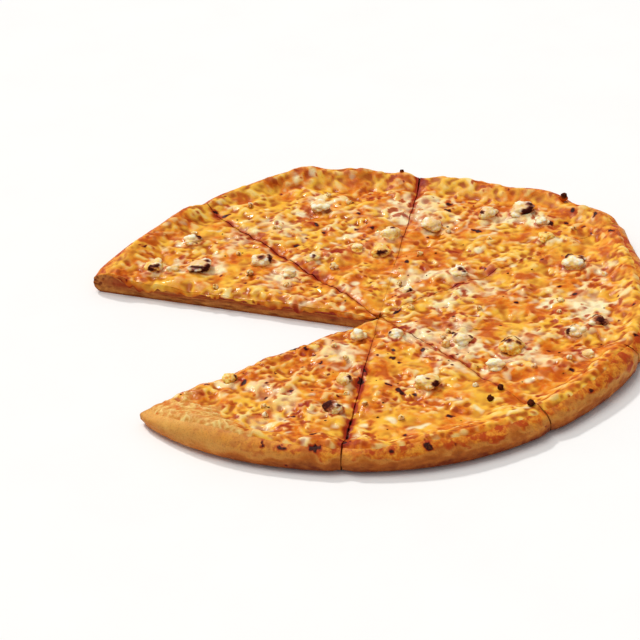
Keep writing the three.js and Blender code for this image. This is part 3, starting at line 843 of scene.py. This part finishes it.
def catmull_rom(points, count):
    """Evenly shared points on a smooth curve through others. points is (rays, controls, 2)."""
    before, after = 2 * points[:, :1] - points[:, 1:2], 2 * points[:, -1:] - points[:, -2:-1]
    padded = np.concatenate([before, points, after], 1)
    t = np.linspace(0, points.shape[1] - 1, count)
    k = np.minimum(t.astype(int), points.shape[1] - 2)
    s = (t - k)[:, None]
    p0, p1, p2, p3 = (padded[:, k + i] for i in range(4))
    square, cube = 2 * p0 - 5 * p1 + 4 * p2 - p3, 3 * p1 - p0 - 3 * p2 + p3
    return 0.5 * (2 * p1 + (p2 - p0) * s + square * s**2 + cube * s**3)


def place(piece, rays, out, height):
    x, y = polar(piece.apex, rays.bearing[:, None], out)
    return np.stack([x, y, height + 0 * out], -1)


def fine_rays(piece):
    """Rays evenly apart at the rim, and one more right beside each cut to keep its edge crisp."""
    start, end = piece.start[0], piece.end[0]
    count = int(math.radians(end - start) * RADIUS / RAY_SPREAD)
    between = np.linspace(start, end, count + 1)[1:-1]
    bearing = np.concatenate([[start, start + BESIDE_CUT], between, [end - BESIDE_CUT, end]])
    return make_rays(piece, bearing)


def dough_relief(rays, height, inset):
    """How far the baked skin stands in or out of its smooth form, round the rim."""
    along = np.radians(rays.around)[:, None] * RADIUS
    wrinkles = sample(plan.small, along, 2.2 * height) * 0.16
    wrinkles = wrinkles + sample(plan.fine, along, 1.5 * height) * 0.07
    blisters = np.clip(sample(plan.small, 0.6 * along + 40, 0.9 * height + inset) - 0.9, 0, 2) * 0.35
    return wrinkles + blisters


def melt_share(x, y, z):
    """Where melted cheese has run down over the wall of the rim: 1 above its foot and 0 below."""
    along = np.arctan2(y, x) * RADIUS
    foot = MELT_FOOT + 1.5 * sample(plan.medium, along, 1.5 * z) + 0.9 * sample(plan.small, along, 2 * z)
    return smooth((z - foot) / MELT_BLUR) * (1 - corner_share(x, y))


def corner_share(x, y):
    """1 at the corner of the rim that has no cheese, and 0 away from it."""
    return np.exp(-((turn_between(bearing_of(x, y), BARE_CORNER[0]) / BARE_CORNER[1]) ** 2))


def build_crust(piece, material):
    rays = fine_rays(piece)
    controls = np.stack(crust_profile(rays), -1)
    lower = catmull_rom(controls[:, : WIDEST + 1], WALL_STATIONS)
    upper = catmull_rom(controls[:, WIDEST:], 2 * WALL_STATIONS)[:, ::-1]
    level = np.linspace(0, 1, LEVEL_STATIONS)[:-1]

    def path(curve, height):
        """Distances out and heights over the level middle and along a curve of the rim, on each ray."""
        out_start = rays.length - curve[:, 0, 0]
        middle = lerp(TIP_BLUNTNESS, out_start[:, None], level)
        out = np.concatenate([middle, rays.length[:, None] - curve[:, :, 0]], 1)
        return out, np.concatenate([np.full_like(middle, height), curve[:, :, 1]], 1)

    top_out, top_height = path(resample(upper, WALL_STATIONS), CRUMB_HEIGHT)
    low_out, low_height = path(lower, 0.0)
    relief_top = dough_relief(rays, top_height, rays.length[:, None] - top_out)
    relief_low = dough_relief(rays, low_height, rays.length[:, None] - low_out)
    fade = smooth(np.arange(top_out.shape[1]) / LEVEL_STATIONS - 0.9)
    x, y = polar(piece.apex, rays.bearing[:, None], top_out)
    relief_top = relief_top + MELT_STANDS * melt_share(x, y, top_height)
    top_out = top_out + fade * relief_top * SKIN_RELIEF
    low_out = low_out + smooth(low_height / 2.5) * relief_low * SKIN_RELIEF
    low_out[:, -1] = top_out[:, -1]
    low_height[:, -1] = top_height[:, -1]
    top = place(piece, rays, top_out, top_height)
    bottom = place(piece, rays, low_out, low_height)
    caps = [crumb_face(rays, top, bottom, ray) for ray in (0, -1)]
    faces = [face for face, _ in caps]
    shown, cap_start = wedge_mesh(f"dough_{piece.number}", top, bottom, CRUMB_SHARES, faces)
    paint_crust(shown, cap_start, [depth.ravel() for _, depth in caps])
    dress(shown, material, "crust", f"crust_{piece.number}")


def resample(curve, count):
    """Fewer points along a curve, closer together towards its end."""
    t = (1 - (1 - np.linspace(0, 1, count)) ** 1.3) * (curve.shape[1] - 1)
    k = np.minimum(t.astype(int), curve.shape[1] - 2)
    return lerp(curve[:, k], curve[:, k + 1], (t - k)[:, None])


def outwards(bearing, ray):
    """Away from a slice, square to its cut face."""
    t = math.radians(bearing)
    side = 1 if ray == 0 else -1
    return np.array([side * math.sin(t), -side * math.cos(t), 0.0])


def crumb_face(rays, top, bottom, ray):
    """The points up a cut face of the dough, with its pores pressed in, and how deep each is."""
    column = lerp(bottom[ray, 1:-1][:, None], top[ray, 1:-1][:, None], CRUMB_SHARES[:, None])
    along = np.hypot(column[..., 0], column[..., 1]) + 61 * rays.bearing[ray]
    pores = np.clip(sample(plan.small, along * 1.6, column[..., 2] * 2.6) - 0.55, 0, 1.2)
    pores = pores + 0.5 * np.clip(sample(plan.fine, along, column[..., 2] * 1.7) - 0.6, 0, 1)
    inside = np.minimum(smooth(CRUMB_SHARES * 5), smooth((1 - CRUMB_SHARES) * 5))
    ends = faded_ends(len(column), 4)[:, None]
    depth = pores * inside * ends
    stand_out = CRUMB_SWELL * inside * ends - PORE_DEPTH * depth
    return column + stand_out[..., None] * outwards(rays.bearing[ray], ray), depth


def paint_crust(shown, cap_start, pores):
    points = points_of(shown)
    x, y, z = points.T
    on_cap = 1.0 * (np.arange(len(points)) >= cap_start)
    inset = sample(plan.inset, x, y)
    along = np.arctan2(y, x) * RADIUS
    patchy = sample(plan.small, along, 2 * z)
    broad = sample(plan.medium, along, 1.5 * z)
    # Painted shade: darker lower down the wall and towards the front, on a baked tone that differs at
    # random and is paler at the bare corner.
    to_front = smooth((-y - 110) / 60)
    bake = 0.12 + 0.85 * smooth((12 - z) / 12) + 0.08 * patchy + 0.1 * broad + 0.16 * to_front
    bake = bake * (1 - 0.6 * corner_share(x, y))
    underneath = smooth((0.4 - z) / 0.4)
    stain = smooth((z - 1.5) / 5) * (0.7 + 0.3 * sample(plan.small, along * 1.3, z * 3))
    scorch = np.clip(sample(plan.small, along + 90, 1.6 * z) - 2.5, 0, 1)
    scorch = scorch + sample(plan.char, x, y) * smooth((z - 12) / 1.5)
    set_masks(
        shown,
        bake=lerp(bake, 0.55 + 0.3 * sample(plan.small, x, y), underneath),
        crumb=on_cap * smooth((inset - 1.2) / 1.5) * smooth((z - 0.5) / 0.9),
        # Painted shade in the pores, by how deep each is pressed in.
        pore=np.concatenate([np.zeros(cap_start), *pores]),
        stain=on_cap * stain * lerp(0.2, 1, smooth((inset - 8) / 14)),
        melt=melt_share(x, y, z) * (1 - on_cap),
        char=scorch * (1 - on_cap),
    )


# ---- The melted cheese ----


def build_cheese(piece, material, chunks):
    rays = fine_rays(piece)
    insets, floors = cheese_rows(rays)
    edge_out = rays.length - insets[:, 0]
    count = int((RADIUS - MELTED_TIP) / GRAIN)
    out = lerp(MELTED_TIP, edge_out[:, None], np.linspace(0, 1, count + 1))
    floor = interpolate_rows(insets, floors, rays.length[:, None] - out)
    from_edge = edge_out[:, None] - out
    x, y = close_cuts(piece, rays, out, from_edge)
    lip = smooth(from_edge / LIP)
    floor = floor - LIP_SUNK * (1 - lip)
    relief = sample(plan.relief, x, y) * smooth(from_edge / 4) * smooth(out / 8)
    relief = relief + raised_round(chunks, x, y)
    thickness = np.maximum(0.45, cheese_thickness(piece, rays, out) + relief)
    rounded = smooth(from_edge / LIP_BLUNTNESS)
    thickness = thickness * np.sqrt(lerp(lip, 1, 0.1 * rounded)) * rounded
    top = np.stack([x, y, floor + thickness], -1)
    bottom = place(piece, rays, out, floor)
    bottom[:, -1] = top[:, -1]
    caps = [drape(piece, rays, top, bottom, ray) for ray in (0, -1)]
    shown, cap_start = wedge_mesh(f"melted_cheese_{piece.number}", top, bottom, DRAPE_SHARES, caps)
    paint_cheese(shown, piece, cap_start, [len(cap) for cap in caps])
    dress(shown, material, "cheese", f"cheese_{piece.number}")


def close_cuts(piece, rays, out, from_edge):
    """Places in plan along the rays. Beside a cut that the cheese has closed they move to its middle."""
    x, y = polar(piece.apex, rays.bearing[:, None], out)
    for ray, beside, stroke in ((0, 1, piece.start), (-1, -2, piece.end)):
        if beside_slot(piece, ray):
            continue
        closing = 1 - CUT_OPENS * cut_shows(stroke[0], out[ray])
        fade = smooth((out[ray] - MELTED_TIP) / 4)
        shift = 0.5 * CUT_WIDTH * closing * fade * smooth(from_edge[ray] / 8)
        side = outwards(stroke[0], ray)
        for moved in (ray, beside):
            x[moved] += shift * side[0]
            y[moved] += shift * side[1]
    return x, y


def raised_round(chunks, x, y):
    """The cheese stands a little higher where it has crept up a chunk."""
    rise = 0 * x
    for chunk in chunks:
        distance = np.hypot(x - chunk.x, y - chunk.y) - 0.8 * chunk.half
        rise = np.maximum(rise, CREEP[0] * np.exp(-((np.maximum(0, distance) / CREEP[1]) ** 2)))
    return rise


def drape(piece, rays, top, bottom, ray):
    """The points down a cut face where the cheese has run over its edge."""
    to_slot = beside_slot(piece, ray)
    bulge, fullest = (SLOT_BULGE, SLOT_FULLEST) if to_slot else (CUT_BULGE, CUT_FULLEST)
    high, low = top[ray, 1:-1], bottom[ray, 1:-1]
    along = np.arange(len(high)) * GRAIN + 37 * rays.bearing[ray]
    hang = HANG[1] + 0.9 * sample(plan.small, along, 0) + 0.8 * sample(plan.medium, along, 0)
    ends = faded_ends(len(high), 12)
    hang = np.clip(hang, HANG[0], HANG[2]) * ends
    uneven = 0.25 * sample(plan.small, along, 9) + 0.2 * sample(plan.medium, along, 5)
    stretch = bulge * np.clip(0.95 + uneven, 0.3, 1.4) * ends
    height = lerp((low[:, 2] - hang)[:, None], high[:, 2][:, None], DRAPE_UP)
    power = math.log(0.5) / math.log(fullest)
    stand_out = stretch[:, None] * np.sin(math.pi * DRAPE_UP**power) + 0.05
    lumps = sample(plan.small, 1.5 * along[:, None], 4 * height)
    stand_out = stand_out * (1 + 0.25 * lumps)
    column = np.repeat(high[:, None], len(DRAPE_UP), 1)
    column[..., 2] = height
    return column + stand_out[..., None] * outwards(rays.bearing[ray], ray)


def beside_slot(piece, ray):
    taken = STROKES[TAKEN_SLICE]
    after = STROKES[TAKEN_SLICE + 1]
    return piece.end == taken if ray == -1 else piece.start == after


def paint_cheese(shown, piece, cap_start, cap_lengths):
    points = points_of(shown)
    x, y, z = points.T
    # Painted shade down the cut faces: the hanging cheese grows deeper orange, browner, dark red and less
    # pale towards its foot.
    down = np.concatenate([np.zeros(cap_start), np.tile(1 - DRAPE_UP, sum(cap_lengths))])
    drape_shades = [SLOT_SHADE if beside_slot(piece, ray) else CUT_SHADE for ray in (0, -1)]
    counts = [length * len(DRAPE_UP) for length in cap_lengths]
    # The strength of that painted shade on each point, by the face it hangs over.
    scorched = np.repeat([0, *drape_shades], [cap_start, *counts])
    streaks = sample(plan.small, (x + 0.7 * y) * 1.3, 0.4 * z)
    # Painted shade in the groove of each cut that shows: browner, dark red, near black at its middle and
    # less pale.
    groove_shade = cut_groove_shade(x, y) * smooth(0.7 + 0.4 * sample(plan.small, y, x))
    dark_red = 0.7 * down * np.clip(streaks - 0.2, 0, 1) + 0.6 * groove_shade
    set_masks(
        shown,
        deep=sample(plan.deep, x, y) + 0.3 * down,
        pale=sample(plan.pale, x, y) * (1 - 0.5 * down) * (1 - 0.5 * groove_shade),
        brown=sample(plan.brown, x, y) + groove_shade + down * (scorched + 0.35 * streaks),
        red=sample(plan.red, x, y) + dark_red,
        char=sample(plan.char, x, y) * (1 - down) + 1.2 * np.clip(groove_shade - 0.8, 0, 0.6),
        bare=sample(plan.bare, x, y) * (1 - down),
        dry=sample(plan.dry, x, y),
        # Down a cut face the ridge mask eases to just under its middle, a little painted shade.
        ridge=lerp(sample(plan.ridge, x, y), 0.45, down),
    )


def cut_groove_shade(x, y):
    """How much painted shade darkens the groove of a cut at points in plan: 1 on a cut that shows plainly.
    """
    groove_shade = 0 * x
    for bearing, _ in STROKES[:TAKEN_SLICE] + STROKES[TAKEN_SLICE + 2 : -1]:
        ahead, aside = turned(x - CUT_CENTRE[0], y - CUT_CENTRE[1], math.radians(bearing))
        shows = np.where(ahead > 0, cut_shows(bearing, ahead), 0)
        groove_shade = np.maximum(groove_shade, shows * np.exp(-((aside / (1.4 + shows)) ** 2)))
    return groove_shade


# ---- White cheese ----


def ball(detail):
    """Points and triangles of a round ball of radius 1."""
    bpy.ops.mesh.primitive_ico_sphere_add(subdivisions=detail, radius=1)
    shown = bpy.context.object
    points = np.array([v.co for v in shown.data.vertices])
    triangles = np.array([tuple(p.vertices) for p in shown.data.polygons])
    mesh = shown.data
    bpy.data.objects.remove(shown)
    bpy.data.meshes.remove(mesh)
    return points / np.linalg.norm(points, axis=1)[:, None], triangles


def curd(directions, rng):
    """Points on a clump of small round curds, and how deep each lies in the fold between two of them,
    which sets the painted shade there.
    """
    middles = rng.standard_normal((CURDS, 3))
    middles *= (rng.uniform(*CURD_PLACE, CURDS) / np.linalg.norm(middles, axis=1))[:, None]
    sizes = rng.uniform(*CURD_SIZE, CURDS)
    toward = directions @ middles.T
    inside = toward**2 - (np.sum(middles**2, 1) - sizes**2)
    hits = np.where(inside > 0, toward + np.sqrt(np.maximum(inside, 0)), 0)
    hits = np.concatenate([hits, np.full((len(hits), 1), CURD_CORE)], 1)
    soft = np.log(np.exp(CURD_SHARPNESS * hits).sum(1)) / CURD_SHARPNESS
    crease = np.clip((0.86 - soft) / 0.16, 0, 1)
    return directions * soft[:, None], crease


def find_chunks():
    """The white cheese chunks, as their solids lie."""
    chunks = []
    for name in sorted(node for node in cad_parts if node.startswith("feta_")):
        low, high = (np.array(corner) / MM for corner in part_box(name))
        (x, y, _), size = (low + high) / 2, high - low
        half = max(size[0], size[1]) / 2
        chunks.append(SimpleNamespace(name=name, x=x, y=y, top=high[2], size=size, half=half))
    return chunks


def build_chunk(chunk, number, looks, template, material):
    directions, triangles = template
    points, crease = curd(directions, random_stream(500 + number))
    wobble = sample(plan.small, 30 * points[:, 0] + 17 * number, 30 * points[:, 1] + 25 * points[:, 2])
    points = points * (1 + 0.03 * wobble)[:, None]
    low, high = points.min(0), points.max(0)
    unit = (points - low) / (high - low) - 0.5
    size = np.array([chunk.size[0], chunk.size[1], chunk.size[2] + CHUNK_BURIED])
    middle = np.array([chunk.x, chunk.y, chunk.top - size[2] / 2])
    name = f"white_cheese_{number:02d}"
    shown = make_mesh(name, unit * size + middle, triangles=triangles)
    coat, arcs, blobs = looks
    patch = sample(plan.small, 60 * unit[:, 0] + 31 * number, 60 * unit[:, 1] + 40 * unit[:, 2])
    scorch = scorch_on(unit, arcs, blobs, patch)
    covered = smooth(1.8 * (coat - 0.9 * unit[:, 2] + 0.16 * patch - 0.28) + 0.5)
    char, brown = smooth(1.8 * scorch - 0.4), smooth(1.8 * scorch + 0.3) * 0.85
    set_masks(shown, char=char, brown=brown, coat=covered, crease=crease)
    dress(shown, material, "feta", chunk.name)


def scorch_on(unit, arcs, blobs, patch):
    """How scorched points on a chunk are, in its shares of width, from arcs round its crown and blobs."""
    out = np.hypot(unit[:, 0], unit[:, 1])
    bearing = bearing_of(unit[:, 0], unit[:, 1])
    above = smooth(4 * unit[:, 2] + 1)
    scorch = np.full(len(unit), -0.5)
    for middle, span in arcs:
        apart = np.abs(turn_between(bearing, middle))
        arc = np.exp(-(((out - 0.37) / 0.1) ** 2)) * smooth((span - apart) / 20 + 0.5)
        scorch = np.maximum(scorch, 1.7 * arc * above - 0.5 + 0.2 * patch)
    for x, y, half in blobs:
        distance = np.hypot(unit[:, 0] - x, unit[:, 1] - y) / half
        scorch = np.maximum(scorch, (1.4 - 0.9 * distance + 0.15 * patch) * above)
    return scorch


# ---- Crumbs and herbs ----


def surface_at(piece, x, y):
    """Height of a slice's smooth cheese over points in plan."""
    bearing = bearing_of(x - piece.apex[0], y - piece.apex[1])
    middle = (piece.start[0] + piece.end[0]) / 2
    bearing = np.clip(turn_between(bearing, middle) + middle, piece.start[0], piece.end[0])
    rays = make_rays(piece, bearing)
    out = np.hypot(x - piece.apex[0], y - piece.apex[1])[:, None]
    insets, floors = cheese_rows(rays)
    floor = interpolate_rows(insets, floors, rays.length[:, None] - out)
    return (floor + np.maximum(THINNEST_CHEESE, cheese_body(piece, rays, out)[0]))[:, 0]


def ground_at(piece, x, y):
    """Height of a slice's melted cheese at one point, with its relief."""
    return surface_at(piece, np.array([x]), np.array([y]))[0] + sample(plan.relief, x, y)


def find_bumps(piece):
    """The small bits fused on a slice's solid cheese: place in plan, half width and height of the top."""
    points = points_of(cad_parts[f"cheese_{piece.number}"])
    above = points[:, 2] - surface_at(piece, points[:, 0], points[:, 1]) - LAYER_GAP
    left = points[above > BUMP_HEIGHT]
    bumps = []
    while len(left):
        near = np.hypot(left[:, 0] - left[0, 0], left[:, 1] - left[0, 1]) < BUMP_WIDTH
        group, left = left[near], left[~near]
        x, y = group[:, 0].mean(), group[:, 1].mean()
        bump = SimpleNamespace(x=x, y=y, top=group[:, 2].max(), ground=ground_at(piece, x, y))
        bump.half = max(np.ptp(group[:, 0]), np.ptp(group[:, 1])) / 2
        bump.on_rim = sample(plan.inset, x, y) < RIM_LIMIT
        bump.is_crumb = bump.half >= FLAKE_LIMIT and not bump.on_rim
        bumps.append(bump)
    return bumps


def join_lumps(name, lumps):
    """One mesh of many small lumps, each a list of points and triangles."""
    points, triangles, count = [], [], 0
    for lump_points, lump_triangles in lumps:
        points.append(lump_points)
        triangles.append(lump_triangles + count)
        count += len(lump_points)
    return make_mesh(name, np.concatenate(points), triangles=np.concatenate(triangles))


def build_crumbs(bumps, material):
    """Small crumbs of the white cheese, where the solids have them."""
    rng = random_stream(61)
    directions, triangles = ball(3)
    lumps, creases = [], []
    for bump in bumps:
        points, crease = curd(directions, rng)
        half = max(bump.half, 2.0) * 1.1
        middle = [bump.x, bump.y, bump.ground + 0.25 * half]
        lumps.append((points * [half, half, half * 0.85] + middle, triangles))
        creases.append(crease)
    shown = join_lumps("white_cheese_crumbs", lumps)
    points = points_of(shown)
    patch = sample(plan.small, 6 * points[:, 0], 6 * points[:, 1])
    coat, char, brown = smooth(0.5 + 0.4 * patch), smooth(patch - 1.4), smooth(patch - 0.7) * 0.8
    set_masks(shown, crease=np.concatenate(creases), coat=coat, char=char, brown=brown)
    dress(shown, material, "feta")


def ragged_ball(directions, field, x, y, amount):
    uneven = 1 + amount * sample(field, 20 * directions[:, 0] + x, 20 * directions[:, 1] + y)
    return directions * uneven[:, None], uneven.max()


def build_herbs(bumps, pieces, material):
    """Dark flakes of dried herb, and the scorched bits that stand on the rim on a browned foot."""
    rng = random_stream(71)
    directions, triangles = ball(2)
    lumps, feet = [], []
    for bump in bumps:
        points, widest = ragged_ball(directions, plan.fine, bump.x, bump.y, 0.3)
        points = points / widest
        if bump.on_rim:
            foot = bump.ground - 0.8
            half = np.array([bump.half, bump.half, (bump.top - foot) / 2])
            points[:, :2] *= 1.1 + 1.2 * np.clip(-points[:, 2:], 0, 1)
            points = points * half + [bump.x, bump.y, foot + half[2]]
        else:
            half = rng.uniform(*FLAKE_WIDTH)
            points = points * [half, half * rng.uniform(0.5, 1), half * 0.4]
            points = points + [bump.x, bump.y, bump.ground + 0.1]
        lumps.append((points, triangles))
        feet.append(smooth(-1.5 * directions[:, 2] + 0.3) * bump.on_rim)
    for x, y, half in CHARRED_BITS:
        points, _ = ragged_ball(directions, plan.small, x, y, 0.12)
        lumps.append((points * half + [x, y, cheese_top(pieces, x, y) + 0.3 * half], triangles))
        feet.append(0 * directions[:, 2])
    shown = join_lumps("herb_flakes", lumps)
    set_masks(shown, foot=np.concatenate(feet))
    dress(shown, material, "cheese")


def cheese_top(pieces, x, y):
    """Height of the cheese at a point of whichever slice it lies on."""
    bearing = bearing_of(x - CUT_CENTRE[0], y - CUT_CENTRE[1])
    for piece in pieces:
        if (bearing - piece.start[0]) % 360 < piece.end[0] - piece.start[0]:
            return ground_at(piece, x, y)
    return CRUMB_HEIGHT


# ---- Stage ----


def build_floor():
    corners = [(-FLOOR_HALF, -FLOOR_HALF, 0), (FLOOR_HALF, -FLOOR_HALF, 0)]
    corners += [(FLOOR_HALF, FLOOR_HALF, 0), (-FLOOR_HALF, FLOOR_HALF, 0)]
    floor = make_mesh("floor", corners, np.array([[0, 1, 2, 3]]))
    floor.data.materials.append(floor_material())


def add_sun(name, strength, width, direction):
    sun = bpy.data.lights.new(name, "SUN")
    sun.energy = strength
    sun.angle = math.radians(width)
    sun.color = SUN_COLOUR
    show(name, sun).rotation_euler = (-Vector(direction)).to_track_quat("-Z", "Y").to_euler()


def build_lights():
    for sun in SUNS:
        add_sun(*sun)
    world = bpy.data.worlds.new("studio")
    world.use_nodes = True
    background = world.node_tree.nodes["Background"]
    background.inputs["Color"].default_value = (1, 1, 1, 1)
    background.inputs["Strength"].default_value = SKY_STRENGTH
    bpy.context.scene.world = world


def build_camera():
    camera = bpy.data.cameras.new("camera")
    camera.lens = CAMERA_LENS
    camera.sensor_width = CAMERA_SENSOR
    camera.clip_start, camera.clip_end = CAMERA_CLIP
    back = Vector((0, -math.cos(CAMERA_HEIGHT_ANGLE), math.sin(CAMERA_HEIGHT_ANGLE)))
    shown = show("camera", camera)
    tilt = Matrix.Rotation(math.pi / 2 - CAMERA_HEIGHT_ANGLE, 4, "X")
    roll = Matrix.Rotation(CAMERA_ROLL, 4, "Z")
    shown.matrix_world = Matrix.Translation(CAMERA_AIM + back * CAMERA_DISTANCE) @ tilt @ roll
    bpy.context.scene.camera = shown


# ---- The whole pizza ----


def build_pizza(chunks):
    wedges = [pair for i, pair in enumerate(zip(STROKES[:-1], STROKES[1:])) if i != TAKEN_SLICE]
    pieces = [make_slice(number, start, end) for number, (start, end) in enumerate(wedges, 1)]
    crust, cheese, sauce, feta = crust_material(), cheese_material(), sauce_material(), feta_material()
    for piece in pieces:
        build_crust(piece, crust)
        build_cheese(piece, cheese, chunks)
        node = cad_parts[f"sauce_{piece.number}"]
        node.data.materials.clear()
        node.data.materials.append(sauce)
    template = ball(4)
    for number, (chunk, looks) in enumerate(zip(chunks, CHUNK_LOOKS), 1):
        build_chunk(chunk, number, looks, template, feta)
    bumps = [bump for piece in pieces for bump in find_bumps(piece)]
    build_crumbs([bump for bump in bumps if bump.is_crumb], feta)
    build_herbs([bump for bump in bumps if not bump.is_crumb], pieces, herb_material())


white_chunks = find_chunks()
plan = draw_plan(white_chunks)
build_pizza(white_chunks)
build_floor()
build_lights()
build_camera()
bpy.context.scene.view_settings.view_transform = "Standard"
